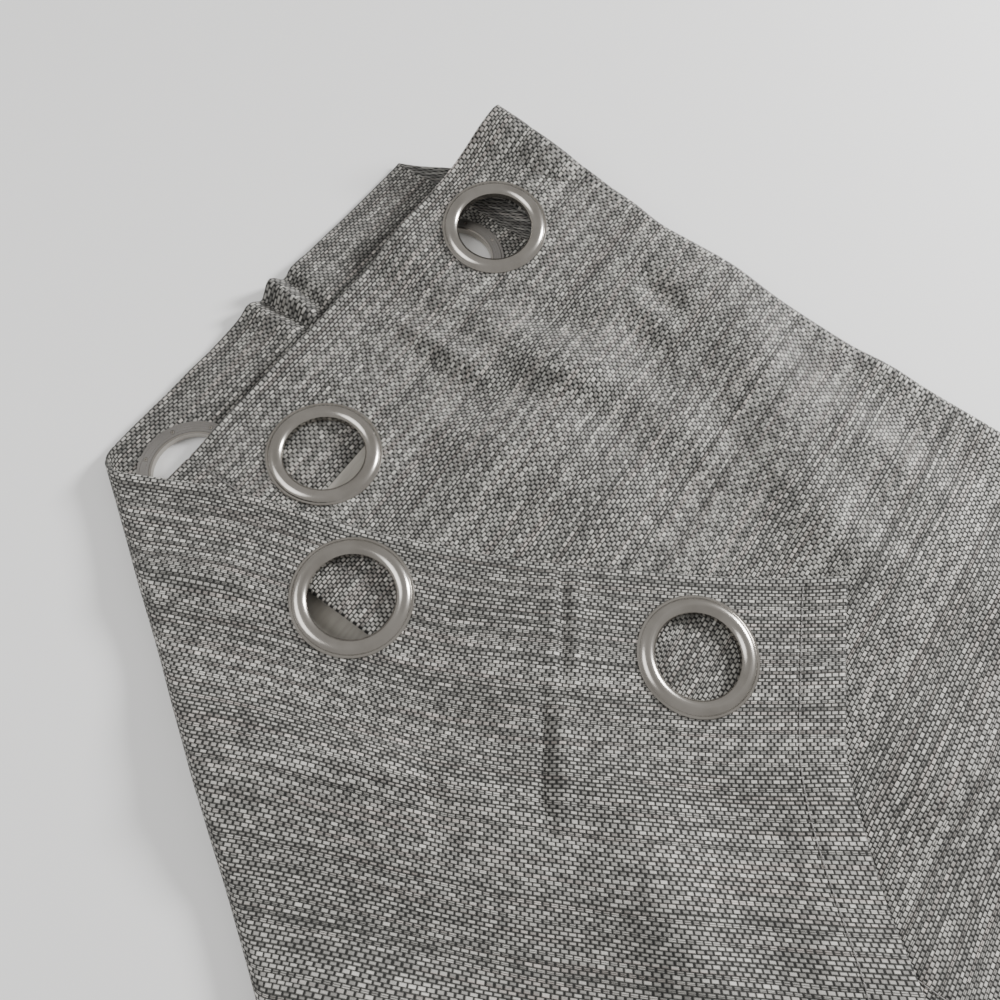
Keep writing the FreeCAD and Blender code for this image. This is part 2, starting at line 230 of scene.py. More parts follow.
def fold(x, y, start, end, width, height):
    """One soft fold, or a hollow where height is negative, fading out at both ends."""
    dx, dy = end[0] - start[0], end[1] - start[1]
    length = math.hypot(dx, dy)
    t = ((x - start[0]) * dx + (y - start[1]) * dy) / (length * length)
    across = ((x - start[0]) * dy - (y - start[1]) * dx) / length
    fade = smooth(t, -0.25, 0.3) * (1.0 - smooth(t, 0.7, 1.25))
    return height * fade * np.exp(-(across / width) ** 2)


def folds(x, y, kind):
    """All the listed folds of one run, added up."""
    total = np.zeros_like(x)
    for each in FOLDS[kind]:
        total += fold(x, y, *each)
    return total


# ---- rings: where the frame has them, and how the cloth meets them ----

def ring_seat(number):
    """The middle of the cloth at a ring, in the layout, and the way the ring faces."""
    name = "eyelet_bore_" + str(number)
    mount = next(m for m in frame["record"]["mounts"] if m["name"] == name)
    facing = np.array(mount["axis"], float)
    return np.array(mount["pos_m"], float) / MM + CENTRE + facing * 0.25, facing


seats = {number: ring_seat(number) for number in range(1, 7)}


def meet_rings(x, y, z, run):
    """The cloth's height, brought to each ring's own plane near that ring."""
    for number in RINGS_OF[run]:
        (cx, cy, cz), facing = seats[number]
        plane = cz - (facing[0] * (x - cx) + facing[1] * (y - cy)) / facing[2]
        hold = 1.0 - smooth(np.hypot(x - cx, y - cy), RING_FLAT, RING_REACH)
        z = z + (plane - z) * hold
    return z


# ---- heights of the middle of the cloth ----

def base_height(x, y):
    """The base run: nearly flat, pinched up in its header, and rising into the side roll."""
    rolling = 1.6 + 0.7 * waves(x, y, 11, 70.0, 260.0)
    pinched = PINCH_RISE * np.exp(-((y - PINCH_Y) / PINCH_HALF) ** 2) * (1.0 - smooth(x, 18.0, 38.0))
    meets_front = EDGE_MEETS * smooth(x, 6.0, 34.0) * (1.0 - smooth(x, 60.0, 120.0))
    z = np.clip(rolling, BASE_LOWEST, BASE_HIGHEST) + pinched + meets_front + folds(x, y, "base")
    rise = CORNER_RISE * (1.0 - smooth(x, 30.0, 190.0)) + ROLL_RISE
    z = z + rise * smooth(y, 616.0, 668.0)
    return np.maximum(meet_rings(x, y, z, "base"), BASE_LOWEST)


def under_flap(x, y):
    """1 where the flap lies on the front run, 0 well outside it."""
    along = x * flap_along[0] + (y - FLAP_ORIGIN[1]) * flap_along[1]
    down = x * flap_down[0] + (y - FLAP_ORIGIN[1]) * flap_down[1]
    return smooth(down, -38.0, 0.0) * (1.0 - smooth(along, FLAP_U, FLAP_U + 45.0))


def front_height(x, y):
    """The front run: lifted towards the open roll, and wrinkled where the flap doesn't lie on it."""
    lifted = (1.0 - linear(x, FRONT_TOP_X, LIFT_END_X)) * linear(y, FRONT_LIFT_Y, ROLL_START)
    corner = 5.0 * smooth(y, 620.0, 662.0) * (1.0 - smooth(x, 30.0, 130.0))
    free = 2.6 * waves(x, y, 23, 50.0, 190.0) + folds(x, y, "front")
    free = at_least(free, FRONT_DEEPEST) + 1.0
    z = FRONT_MIDDLE + FRONT_LIFT * lifted + corner + free * (1.0 - under_flap(x, y))
    return meet_rings(x, y, z, "front")


def flap_height(x, y):
    """The flap: a little above the front run, with its creases."""
    z = FLAP_MIDDLE + 2.0 * waves(x, y, 37, 50.0, 200.0) + FLAP_FOLD_SIZE * folds(x, y, "flap")
    return meet_rings(x, y, at_least(z, FLAP_LOWEST), "flap")


# ---- from flat cloth to folded cloth ----

def pitch(y):
    """The thickness of one folded length in the pile: one cloth, or two under the front run."""
    return PITCH_SINGLE + linear(y, FRONT_Y[-1], 420.0) * (PITCH_DOUBLE - PITCH_SINGLE)


def zigzag(s, y, side):
    """x and height of the folded lengths, at a length s down the strip.  side is -1 for the
    base run's cloth and 1 for the front run's, which lies on it."""
    step = pitch(y)
    gap = side * step / 4.0
    segment = FAR_BEND - NEAR_BEND
    level = np.clip(np.ceil((s - FAR_BEND) / segment), 0, LEVELS)
    back = level % 2 == 1
    into = s - FAR_BEND - (level - 1) * segment
    x = np.where(level == 0, s, np.where(back, FAR_BEND - into, NEAR_BEND + into))
    z = (LEVELS - level + 0.5) * step + np.where(back, -gap, gap)
    for bend in range(1, LEVELS + 1):
        outward = 1.0 if bend % 2 == 1 else -1.0
        corner = FAR_BEND if bend % 2 == 1 else NEAR_BEND
        past = s - FAR_BEND - (bend - 1) * segment + BEND_HALF
        angle = past / (2.0 * BEND_HALF) * math.pi
        turning = (angle > 0.0) & (angle < math.pi)
        radius = step / 2.0 + outward * gap
        x = np.where(turning, corner + outward * (radius * np.sin(angle) - BEND_HALF), x)
        z = np.where(turning, (LEVELS + 1 - bend) * step + radius * np.cos(angle), z)
    return x, z


def down_strip(u, v):
    """The cloth creeps down the strip where it rolls over, and has made it up by the pile."""
    return v + (FRONT_TOP_X + 1.0) * linear(u, *TUCK_U) * (1.0 - smooth(v, 560.0, 930.0))


def run_points(u, v):
    """The base run, the side roll, the front run and the folded lengths of all three."""
    s = down_strip(u, v)
    turn = (1.0 - np.cos(linear(u, ROLL_START, ROLL_END) * math.pi)) / 2.0
    bulge = np.sin(linear(u, ROLL_START, ROLL_END) * math.pi)
    kink = 1.0 - 0.45 * np.exp(-((s - 152.0) / 14.0) ** 2) - 0.35 * (1.0 - smooth(s, 36.0, 90.0))
    y = np.where(u < ROLL_START, u, np.interp(u, FRONT_U, FRONT_Y) + ROLL_BULGE * kink * bulge)
    in_pile = smooth(s, RAMP_START, RAMP_END)
    x_low, pile_low = zigzag(s, y, -1.0)
    x_high, pile_high = zigzag(s, y, 1.0)
    slack = at_least(1.6 * waves(s, y, 53, 60.0, 260.0), 0.0)
    slack = slack * (1.0 - smooth(s, FAR_BEND - 60.0, FAR_BEND - 12.0))
    low = base_height(s, y) * (1.0 - in_pile) + (pile_low + slack) * in_pile
    high = front_height(s, y) * (1.0 - in_pile) + (pile_high + slack) * in_pile
    z = np.maximum(low + (high - low) * turn, BASE_LOWEST)
    return np.stack([x_low + (x_high - x_low) * turn, y, z], axis=-1)


def flap_points(u, v):
    """The diagonal fold, from the base run's edge, and the flap beyond it."""
    beyond = (CREASE_Y - crease_slope * v - u) * math.cos(CREASE_ANGLE)
    arc = linear(beyond, 0.0, CREASE_TAKE)
    turn = (1.0 - np.cos(arc * math.pi)) / 2.0
    start = np.stack([v + beyond * inward[0], u + beyond * inward[1]], axis=-1)
    short = np.minimum(beyond - CREASE_TAKE, 0.0)
    end_u, end_v = u + short * inward[1], v + short * inward[0]
    across = FLAP_U - end_u
    end = np.array(FLAP_ORIGIN) + across[..., None] * flap_along + end_v[..., None] * flap_down
    free_edge = 1.0 - linear(end_u, 0.0, np.maximum(crease_of(end_v) - CREASE_TAKE - 20.0, 1.0))
    bow = BOW_RISE * ((across - BOW_LOW) / BOW_HALF) ** 2 - BOW_RISE / 2.0
    bow = bow * smooth(beyond, CREASE_TAKE, CREASE_TAKE + BOW_FADE)
    bow = bow * (1.0 - BOW_LOSS * smooth(end_v, 30.0, 260.0))
    end = end - bow[..., None] * flap_down
    swing = HEM_SWING * smooth(end_v, 75.0, 235.0) * (1.0 - smooth(end_v, 380.0, 600.0))
    end = end + (swing * free_edge)[..., None] * flap_along
    bulge = CREASE_BULGE * np.sin(arc * math.pi)
    flat = start + (end - start) * turn[..., None] - inward * bulge[..., None]
    low = base_height(start[..., 0], start[..., 1])
    high = flap_height(end[..., 0], end[..., 1])
    return np.concatenate([flat, (low + (high - low) * turn)[..., None]], axis=-1)


def crease_of(v):
    """How far across the cloth the diagonal fold begins, at a distance down."""
    return np.maximum(0.0, CREASE_Y - crease_slope * v)


# ---- grids of the flat cloth ----

def run_grid():
    """Points of the base run, side roll, front run and folded lengths, closer at the folds."""
    segment = FAR_BEND - NEAR_BEND
    rows = [np.linspace(0.0, 12.0, 5)[:-1], np.linspace(12.0, HEADER_DEPTH, 22)[:-1],
            np.linspace(HEADER_DEPTH, FAR_BEND - 9.0, 196)]
    for bend in range(LEVELS):
        corner = FAR_BEND + bend * segment
        last = corner + segment - (0.0 if bend == LEVELS - 1 else 14.0)
        rows.append(corner + np.linspace(-BEND_HALF, BEND_HALF, 9))
        rows.append(np.linspace(corner + 14.0, last, 22))
    v = np.concatenate(rows)[:, None]
    base = crease_of(v) + (TUCK_U[0] - crease_of(v)) * np.linspace(0.0, 1.0, 150)[None, :-1]
    beyond = np.concatenate([
        np.linspace(TUCK_U[0], TUCK_U[1], 14)[:-1],
        np.linspace(TUCK_U[1], ROLL_START - 6.0, 10)[:-1],
        np.linspace(ROLL_START - 6.0, ROLL_END + 8.0, 20)[:-1],
        np.linspace(ROLL_END + 8.0, PANEL_WIDTH - SIDE_HEM, 74)[:-1],
        PANEL_WIDTH - SIDE_HEM + HEM_COLUMNS,
    ])
    u = np.concatenate([base, np.broadcast_to(beyond, (len(v), len(beyond)))], axis=1)
    return u, np.broadcast_to(v, u.shape).copy()


def flap_grid():
    """Points of the diagonal fold and the flap, from its hem to the fold."""
    v = np.concatenate([
        np.linspace(0.0, 12.0, 5)[:-1],
        np.linspace(12.0, HEADER_DEPTH, 22)[:-1],
        np.linspace(HEADER_DEPTH, CREASE_Y / crease_slope, 124),
    ])[:, None]
    bend_from = np.maximum(crease_of(v) - 32.0, 0.0)
    hem_to = np.minimum(SIDE_HEM, bend_from)
    hem = hem_to * (1.0 - HEM_COLUMNS[::-1] / SIDE_HEM)[None, :-1]
    body = hem_to + (bend_from - hem_to) * np.linspace(0.0, 1.0, 130)[None, :-1]
    bend = bend_from + (crease_of(v) - bend_from) * np.linspace(0.0, 1.0, 16)[None, :]
    u = np.concatenate([hem, body, bend], axis=1)
    return u, np.broadcast_to(v, u.shape).copy()


# ---- meshes ----

def open_rings(points, region, run):
    """Cells to leave out at the rings; the points round each opening move onto its circle."""
    rows, cols = region.shape
    closed = np.zeros((rows - 1, cols - 1), bool)
    for number in RINGS_OF[run]:
        centre, facing = seats[number]
        offset = points - centre
        height = offset @ facing
        flat = offset - height[..., None] * facing
        distance = np.linalg.norm(flat, axis=2)
        inside = region & (np.abs(height) < 4.0) & (distance < RING_CLEAR)
        gone = inside[:-1, :-1] | inside[1:, :-1] | inside[1:, 1:] | inside[:-1, 1:]
        touched = np.zeros_like(inside)
        touched[:-1, :-1] |= gone
        touched[1:, :-1] |= gone
        touched[1:, 1:] |= gone
        touched[:-1, 1:] |= gone
        edge = touched & ~inside
        circle = centre + flat / np.maximum(distance, 0.01)[..., None] * RING_HOLE
        points[edge] = (circle + height[..., None] * facing)[edge]
        closed |= gone
    return ~closed


def face_normals(points):
    """The cloth's own normal at every point of a grid, out of its face side."""
    normal = np.cross(np.gradient(points, axis=1), np.gradient(points, axis=0))
    return normal / np.maximum(np.linalg.norm(normal, axis=2, keepdims=True), 1e-9)


def cell_mean(values):
    """A value for each cell of a grid, from its four corners."""
    return (values[:-1, :-1] + values[1:, :-1] + values[1:, 1:] + values[:-1, 1:]) / 4.0


def layer(name, cloth, cells, top, bottom, material):
    """One cloth layer as a closed shell: the chosen cells of a grid, between two offsets
    from the middle of the cloth.  Returns the piece and its flat area in square metres."""
    points, normal, u, v = cloth["points"], cloth["normal"], cloth["u"], cloth["v"]
    count = u.size
    index = np.arange(count).reshape(u.shape)
    chosen = cells & cloth["open"]
    corners = (index[:-1, :-1], index[:-1, 1:], index[1:, 1:], index[1:, :-1])
    quads = np.stack([corner[chosen] for corner in corners], axis=1)
    edges = np.concatenate([quads[:, [k, (k + 1) % 4]] for k in range(4)])
    keys = np.sort(edges, axis=1)
    _, first, uses = np.unique(keys[:, 0] * count + keys[:, 1], return_index=True, return_counts=True)
    rim = edges[first[uses == 1]]
    low, high = rim[:, 0], rim[:, 1]
    middle = (points + normal * ((top + bottom) / 2.0)[..., None]).reshape(-1, 3)
    side = np.cross(middle[high] - middle[low], normal.reshape(-1, 3)[low])
    outward = np.zeros_like(middle)
    np.add.at(outward, low, side)
    np.add.at(outward, high, side)
    outward /= np.maximum(np.linalg.norm(outward, axis=1, keepdims=True), 1e-9)
    rounding = ((top - bottom) / 2.0).reshape(-1, 1)
    faces = np.concatenate([
        quads,
        quads[:, ::-1] + count,
        np.stack([high, low, low + 2 * count, high + 2 * count], axis=1),
        np.stack([low + count, high + count, high + 2 * count, low + 2 * count], axis=1),
    ])
    vertices = np.concatenate([
        (points + normal * top[..., None]).reshape(-1, 3),
        (points + normal * bottom[..., None]).reshape(-1, 3),
        middle + outward * rounding,
    ])
    used, compact = np.unique(faces, return_inverse=True)
    flat = np.tile(np.stack([u, v], axis=-1).reshape(-1, 2), (3, 1))[used] * MM
    piece = mesh_piece(name, vertices[used], compact.reshape(faces.shape).tolist(), material)
    uv = piece.data.uv_layers.new(name="cloth")
    loops = np.empty(len(piece.data.loops), np.int32)
    piece.data.loops.foreach_get("vertex_index", loops)
    uv.data.foreach_set("uv", flat[loops].astype(np.float32).ravel())
    du, dv = np.abs(np.diff(u, axis=1)), np.abs(np.diff(v, axis=0))
    area = ((du[:-1] + du[1:]) / 2.0 * dv[:, :1])[cells].sum() * MM * MM
    return piece, float(area)


def mesh_piece(name, vertices, faces, material):
    """A smooth-shaded mesh object, from points in layout millimetres."""
    mesh = bpy.data.meshes.new(name)
    mesh.from_pydata(((vertices - CENTRE) * MM).tolist(), [], faces)
    mesh.polygons.foreach_set("use_smooth", np.ones(len(mesh.polygons), bool))
    mesh.materials.append(material)
    mesh.update()
    piece = bpy.data.objects.new(name, mesh)
    bpy.context.scene.collection.objects.link(piece)
    return piece


def make_cloth(place, u, v, runs):
    """Everything about one stretch of cloth that its layers share: its points and normals,
    their flat places, and the cells that no ring opens."""
    points = place(u, v)
    opened = np.ones((u.shape[0] - 1, u.shape[1] - 1), bool)
    for run, region in runs:
        opened &= open_rings(points, region, run)
    opened &= cell_mean(np.abs(np.gradient(u, axis=1))) > SMALLEST_CELL
    return {"points": points, "normal": face_normals(points), "u": u, "v": v, "open": opened}


def stitches(name, place, u, first_v, last_v, material):
    """A row of thread stitches standing just out of the cloth, along a hem."""
    rings = len(STITCH_ARCH)
    starts = np.arange(first_v, last_v, STITCH_PITCH)
    v = (starts[:, None] + np.linspace(0.0, STITCH_LENGTH, rings)[None, :]).ravel()
    here = np.full_like(v, u)
    line = place(here, v)
    across = place(here + 0.5, v) - line
    down = place(here, v + 0.5) - line
    up = np.cross(across, down)
    up /= np.linalg.norm(up, axis=1, keepdims=True)
    side = across / np.linalg.norm(across, axis=1, keepdims=True)
    sink = np.tile(STITCH_ARCH, len(starts))[:, None]
    ring = np.arange(STITCH_SIDES) * math.tau / STITCH_SIDES
    centre = line + up * (FACE_TOP + sink)
    sideways = side[:, None, :] * np.cos(ring)[None, :, None]
    upward = up[:, None, :] * np.sin(ring)[None, :, None]
    vertices = centre[:, None, :] + STITCH_RADIUS * (sideways + upward)
    faces = []
    for stitch in range(len(starts)):
        first = stitch * rings * STITCH_SIDES
        for corner in range(first, first + (rings - 1) * STITCH_SIDES, STITCH_SIDES):
            for j in range(STITCH_SIDES):
                a, b = corner + j, corner + (j + 1) % STITCH_SIDES
                faces.append((a, b, b + STITCH_SIDES, a + STITCH_SIDES))
        last = first + (rings - 1) * STITCH_SIDES
        faces.append(tuple(first + j for j in reversed(range(STITCH_SIDES))))
        faces.append(tuple(last + j for j in range(STITCH_SIDES)))
    return mesh_piece(name, vertices.reshape(-1, 3), faces, material)


# ---- colours; for the rings, the metal, its worn places and its roughness ----
FACE_THREAD = (0.36, 0.352, 0.328, 1.0)
FACE_WARM = (0.37, 0.325, 0.30, 1.0)
BAND_THREAD = (0.32, 0.312, 0.29, 1.0)
BAND_WARM = (0.33, 0.29, 0.265, 1.0)
WEAVE_SHADE = (0.010, 0.010, 0.009, 1.0)
LINING_LIGHT = (0.385, 0.365, 0.325, 1.0)
LINING_DARK = (0.325, 0.305, 0.27, 1.0)
SEWING_GREY = (0.30, 0.29, 0.28, 1.0)
FLOOR_DARK = (0.95, 0.95, 0.945, 1.0)
FLOOR_LIGHT = (0.97, 0.97, 0.965, 1.0)
FRONT_METAL = ((0.47, 0.445, 0.41, 1.0), (0.33, 0.31, 0.28, 1.0), 0.16)
BACK_METAL = ((0.33, 0.315, 0.30, 1.0), (0.24, 0.23, 0.215, 1.0), 0.27)


# ---- materials ----

class Nodes:
    """A material's node tree, built by short calls."""

    def __init__(self, name):
        self.material = bpy.data.materials.new(name)
        self.material.use_nodes = True
        self.tree = self.material.node_tree
        self.shader = self.tree.nodes["Principled BSDF"]

    def add(self, kind, **settings):
        node = self.tree.nodes.new("ShaderNode" + kind)
        for name, value in settings.items():
            setattr(node, name, value)
        return node

    def feed(self, socket, value):
        if isinstance(value, bpy.types.NodeSocket):
            self.tree.links.new(value, socket)
        else:
            socket.default_value = value

    def maths(self, operation, *values):
        node = self.add("Math", operation=operation)
        for socket, value in zip(node.inputs, values):
            self.feed(socket, value)
        return node.outputs[0]

    def times(self, first, second):
        return self.maths("MULTIPLY", first, second)

    def plus(self, first, second):
        return self.maths("ADD", first, second)

    def less(self, first, second):
        return self.maths("SUBTRACT", first, second)

    def vector(self, x, y, z=0.0):
        node = self.add("CombineXYZ")
        for socket, value in zip(node.inputs, (x, y, z)):
            self.feed(socket, value)
        return node.outputs[0]

    def noise(self, vector, scale, detail=2.0):
        node = self.add("TexNoise")
        self.feed(node.inputs["Vector"], vector)
        self.feed(node.inputs["Scale"], scale)
        self.feed(node.inputs["Detail"], detail)
        return node.outputs["Fac"]

    def random(self, vector):
        node = self.add("TexWhiteNoise")
        self.feed(node.inputs["Vector"], vector)
        return node.outputs["Value"]

    def span(self, value, start, end, low=0.0, high=1.0, smooth_ends=True):
        node = self.add("MapRange")
        node.interpolation_type = "SMOOTHSTEP" if smooth_ends else "LINEAR"
        given = {"Value": value, "From Min": start, "From Max": end, "To Min": low, "To Max": high}
        for name, setting in given.items():
            self.feed(node.inputs[name], setting)
        return node.outputs["Result"]

    def mix(self, share, first, second, blend="MIX"):
        node = self.add("Mix", data_type="RGBA", blend_type=blend)
        self.feed(node.inputs[0], share)
        self.feed(node.inputs[6], first)
        self.feed(node.inputs[7], second)
        return node.outputs[2]

    def grey(self, value):
        node = self.add("CombineColor")
        for socket in node.inputs:
            self.feed(socket, value)
        return node.outputs[0]

    def bump(self, height, distance, strength=1.0):
        node = self.add("Bump")
        self.feed(node.inputs["Height"], height)
        self.feed(node.inputs["Distance"], distance)
        self.feed(node.inputs["Strength"], strength)
        self.tree.links.new(node.outputs[0], self.shader.inputs["Normal"])


def flat_millimetres(nodes):
    """The flat cloth's own u and v at each point of the surface, in millimetres."""
    place = nodes.add("UVMap", uv_map="cloth")
    parts = nodes.add("SeparateXYZ")
    nodes.tree.links.new(place.outputs[0], parts.inputs[0])
    return nodes.times(parts.outputs[0], 1000.0), nodes.times(parts.outputs[1], 1000.0)


def woven_cloth(name, thread, shade, warm):
    """Linen-look cloth: rows of light weft floats, set like bricks, with near-black gaps at
    their ends, rows that are thick, thin or split in two, and dark lines along the weft."""
    nodes = Nodes(name)
    u, v = flat_millimetres(nodes)
    # the rows, which wander and vary in height
    slow = nodes.noise(nodes.vector(nodes.times(u, 0.015), nodes.times(v, 0.04)), 1.0)
    quick = nodes.noise(nodes.vector(nodes.times(u, 0.002), nodes.times(v, 0.33)), 1.0)
    row = nodes.plus(nodes.maths("DIVIDE", v, ROW_PITCH), nodes.times(slow, 1.2))
    row = nodes.plus(row, nodes.times(quick, 0.45))
    row_number = nodes.maths("FLOOR", row)
    row_part = nodes.maths("ABSOLUTE", nodes.less(nodes.maths("FRACT", row), 0.5))
    row_random = nodes.random(nodes.vector(row_number, 3.7))
    row_kind = nodes.random(nodes.vector(row_number, 11.3))
    # the floats along each row
    brick = nodes.times(nodes.maths("FLOORED_MODULO", row_number, 2.0), 0.5)
    column = nodes.plus(nodes.maths("DIVIDE", u, DASH_PITCH), brick)
    column = nodes.plus(column, nodes.times(row_random, 0.12))
    column_number = nodes.maths("FLOOR", column)
    column_part = nodes.maths("ABSOLUTE", nodes.less(nodes.maths("FRACT", column), 0.5))
    each = nodes.random(nodes.vector(column_number, row_number))
    long_side = nodes.plus(0.31, nodes.times(each, 0.09))
    lengthwise = nodes.span(nodes.less(column_part, long_side), 0.10, -0.10)
    half_height = nodes.plus(0.29, nodes.times(row_random, 0.16))
    crosswise = nodes.span(nodes.less(row_part, half_height), 0.14, -0.14)
    split = nodes.times(nodes.span(row_kind, 0.66, 0.70), nodes.span(row_part, 0.13, 0.02))
    crosswise = nodes.times(crosswise, nodes.less(1.0, nodes.times(split, 0.7)))
    dash = nodes.times(lengthwise, crosswise)
    # a dark line between some rows, along part of their length
    stretch = nodes.noise(nodes.vector(nodes.times(u, 0.006), nodes.times(row_number, 5.3)), 1.0, 0.0)
    dark_line = nodes.times(nodes.span(row_kind, 0.07, 0.055), nodes.span(row_part, 0.36, 0.44))
    dark_line = nodes.times(dark_line, nodes.span(stretch, 0.45, 0.53))
    # how light each float is, with painted sheen in lighter and darker streaks along the weft, and its
    # tint
    painted_sheen_bands = nodes.noise(nodes.vector(nodes.times(u, 0.004), nodes.times(v, 0.13)), 1.0, 4.0)
    fibre = nodes.noise(nodes.vector(u, nodes.times(v, 3.0)), 2.2, 3.0)
    tone = nodes.plus(0.60, nodes.times(nodes.maths("POWER", each, 1.6), 0.95))
    tone = nodes.times(tone, nodes.span(row_random, 0.0, 1.0, 0.88, 1.12, False))
    # painted sheen: the floats lighter and darker in long streaks along the weft
    tone = nodes.times(tone, nodes.span(painted_sheen_bands, 0.3, 0.7, 0.82, 1.2, False))
    tone = nodes.times(tone, nodes.span(fibre, 0.2, 0.8, 0.72, 1.28, False))
    tint = nodes.noise(nodes.vector(nodes.times(u, 0.012), nodes.times(v, 0.33)), 1.0, 2.0)
    light = nodes.mix(nodes.span(tint, 0.50, 0.68, 0.0, 0.7), thread, warm)
    light = nodes.mix(1.0, light, nodes.grey(tone), "MULTIPLY")
    beside = nodes.mix(lengthwise, shade, tuple(4.5 * c for c in shade[:3]) + (1.0,))
    colour = nodes.mix(dash, beside, light)
    colour = nodes.mix(nodes.times(dark_line, 0.8), colour, shade)
    nodes.feed(nodes.shader.inputs["Base Color"], colour)
    nodes.feed(nodes.shader.inputs["Roughness"], nodes.span(dash, 0.0, 1.0, 0.85, 0.44, False))
    nodes.shader.inputs["Sheen Weight"].default_value = 0.1
    nodes.shader.inputs["Sheen Roughness"].default_value = 0.45
    nodes.shader.inputs["Specular IOR Level"].default_value = 0.5
    height = nodes.plus(dash, nodes.times(fibre, 0.25))
    nodes.bump(height, 0.0006, 1.0)
    return nodes.material


def lining_cloth(name, colour, shadow):
    """Smooth plain-weave lining with a fine even grain."""
    nodes = Nodes(name)
    u, v = flat_millimetres(nodes)
    warp = nodes.maths("SINE", nodes.times(u, 9.0))
    weft = nodes.maths("SINE", nodes.times(v, 9.0))
    mottle = nodes.noise(nodes.vector(nodes.times(u, 0.05), nodes.times(v, 0.4)), 1.0, 3.0)
    nodes.feed(nodes.shader.inputs["Base Color"], nodes.mix(nodes.span(mottle, 0.3, 0.7), shadow, colour))
    nodes.feed(nodes.shader.inputs["Roughness"], nodes.span(mottle, 0.0, 1.0, 0.55, 0.7, False))
    nodes.shader.inputs["Sheen Weight"].default_value = 0.1
    nodes.bump(nodes.times(warp, weft), 0.00008, 0.5)
    return nodes.material


def thread(name, colour):
    """Sewing thread with a fine twist."""
    nodes = Nodes(name)
    place = nodes.add("TexCoord").outputs["Object"]
    twist = nodes.noise(place, 2500.0, 2.0)
    dark = tuple(0.6 * c for c in colour[:3]) + (1.0,)
    nodes.feed(nodes.shader.inputs["Base Color"], nodes.mix(twist, dark, colour))
    nodes.shader.inputs["Roughness"].default_value = 0.6
    nodes.bump(twist, 0.0001)
    return nodes.material


def brushed_metal(name, number, colour, worn, roughness):
    """Satin nickel, brushed round the ring's own axis, a little darker in its wear."""
    nodes = Nodes(name)
    centre, facing = seats[number]
    place = nodes.add("TexCoord").outputs["Object"]
    offset = nodes.add("VectorMath", operation="SUBTRACT")
    nodes.feed(offset.inputs[0], place)
    offset.inputs[1].default_value = tuple((centre - CENTRE) * MM)
    cross = nodes.add("VectorMath", operation="CROSS_PRODUCT")
    nodes.feed(cross.inputs[0], offset.outputs[0])
    cross.inputs[1].default_value = tuple(facing)
    distance = nodes.add("VectorMath", operation="LENGTH")
    nodes.feed(distance.inputs[0], cross.outputs[0])
    radius = distance.outputs["Value"]
    lines = nodes.noise(nodes.vector(nodes.times(radius, 9000.0), nodes.noise(place, 60.0)), 1.0, 3.0)
    smudge = nodes.noise(place, 55.0, 4.0)
    wear = nodes.span(smudge, 0.35, 0.75, 0.0, 0.7)
    nodes.feed(nodes.shader.inputs["Base Color"], nodes.mix(wear, colour, worn))
    nodes.shader.inputs["Metallic"].default_value = 1.0
    rough = nodes.plus(nodes.span(lines, 0.25, 0.75, roughness - 0.05, roughness + 0.08, False),
                      nodes.span(smudge, 0.3, 0.8, 0.0, 0.06, False))
    nodes.feed(nodes.shader.inputs["Roughness"], rough)
    nodes.bump(lines, 0.00003, 0.5)
    return nodes.material


def floor_paint():
    """A matt, nearly white floor with a very faint grain."""
    nodes = Nodes("floor_paint")
    place = nodes.add("TexCoord").outputs["Object"]
    grain = nodes.noise(place, 40.0, 3.0)
    nodes.feed(nodes.shader.inputs["Base Color"], nodes.mix(grain, FLOOR_DARK, FLOOR_LIGHT))
    nodes.shader.inputs["Roughness"].default_value = 0.8
    return nodes.material


# ---- the curtain ----

face_cloth = woven_cloth("face_cloth_weave", FACE_THREAD, WEAVE_SHADE, FACE_WARM)
band_cloth = woven_cloth("header_weave", BAND_THREAD, WEAVE_SHADE, BAND_WARM)
lining = lining_cloth("lining_sateen", LINING_LIGHT, LINING_DARK)
sewing = thread("sewing_thread", SEWING_GREY)


def flap_blend(piece):
    """Bakes the piece's placement into its mesh."""
    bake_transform(piece)


def offsets(cloth):
    """Where the face cloth's two sides are, from the middle of the cloth.  It wraps round the
    panel's own edges, so it is as thick as the whole there."""
    u, v = cloth["u"], cloth["v"]
    at_side = np.minimum(u, PANEL_WIDTH - u) < SIDE_TURN
    at_edge = at_side | (np.minimum(v, PANEL_LENGTH - v) < EDGE_TURN)
    hem = (u < SIDE_HEM) | (u > PANEL_WIDTH - SIDE_HEM) | (v > PANEL_LENGTH - BOTTOM_HEM)
    groove = np.exp(-((np.minimum(u, PANEL_WIDTH - u) - HEM_STITCH) / GROOVE_HALF) ** 2)
    top = FACE_TOP + HEM_RAISE * hem - GROOVE_DEPTH * groove
    bottom = np.where(at_edge, BAND_BACK, FACE_BACK)
    return top, bottom


def sew(cloth, prefix, layers, attach):
    """Make the layers of one stretch of cloth, attach each, and hide the CAD nodes that it stands for."""
    u, v = cell_mean(cloth["u"]), cell_mean(cloth["v"])
    face_top, face_bottom = offsets(cloth)
    for name, material, slot, back, flat, belongs, replaced in layers:
        face = back is None
        top = face_top if face else np.full(face_top.shape, FACE_BACK)
        bottom = face_bottom if face else np.full(face_top.shape, back)
        piece, area = layer(prefix + name, cloth, belongs(u, v), top, bottom, material)
        attach(piece)
        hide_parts(*replaced)


# ---- which cells of a grid belong to a layer, from their flat places ----

def everywhere(u, v):
    return u > -1.0


def header(u, v):
    return v < HEADER_DEPTH


def right_hem(u, v):
    return (u > PANEL_WIDTH - SIDE_HEM) & (v > HEADER_DEPTH)


def left_hem(u, v):
    return (u < SIDE_HEM) & (v > HEADER_DEPTH)


def bottom_hem(u, v):
    return v > PANEL_LENGTH - BOTTOM_HEM


def inner(u, v):
    between_hems = (u > SIDE_HEM) & (u < PANEL_WIDTH - SIDE_HEM)
    return between_hems & (v > HEADER_DEPTH) & (v < PANEL_LENGTH - BOTTOM_HEM)


# ---- the layers of the cloth ----

def metres(*sizes):
    return tuple(size * MM for size in sizes)


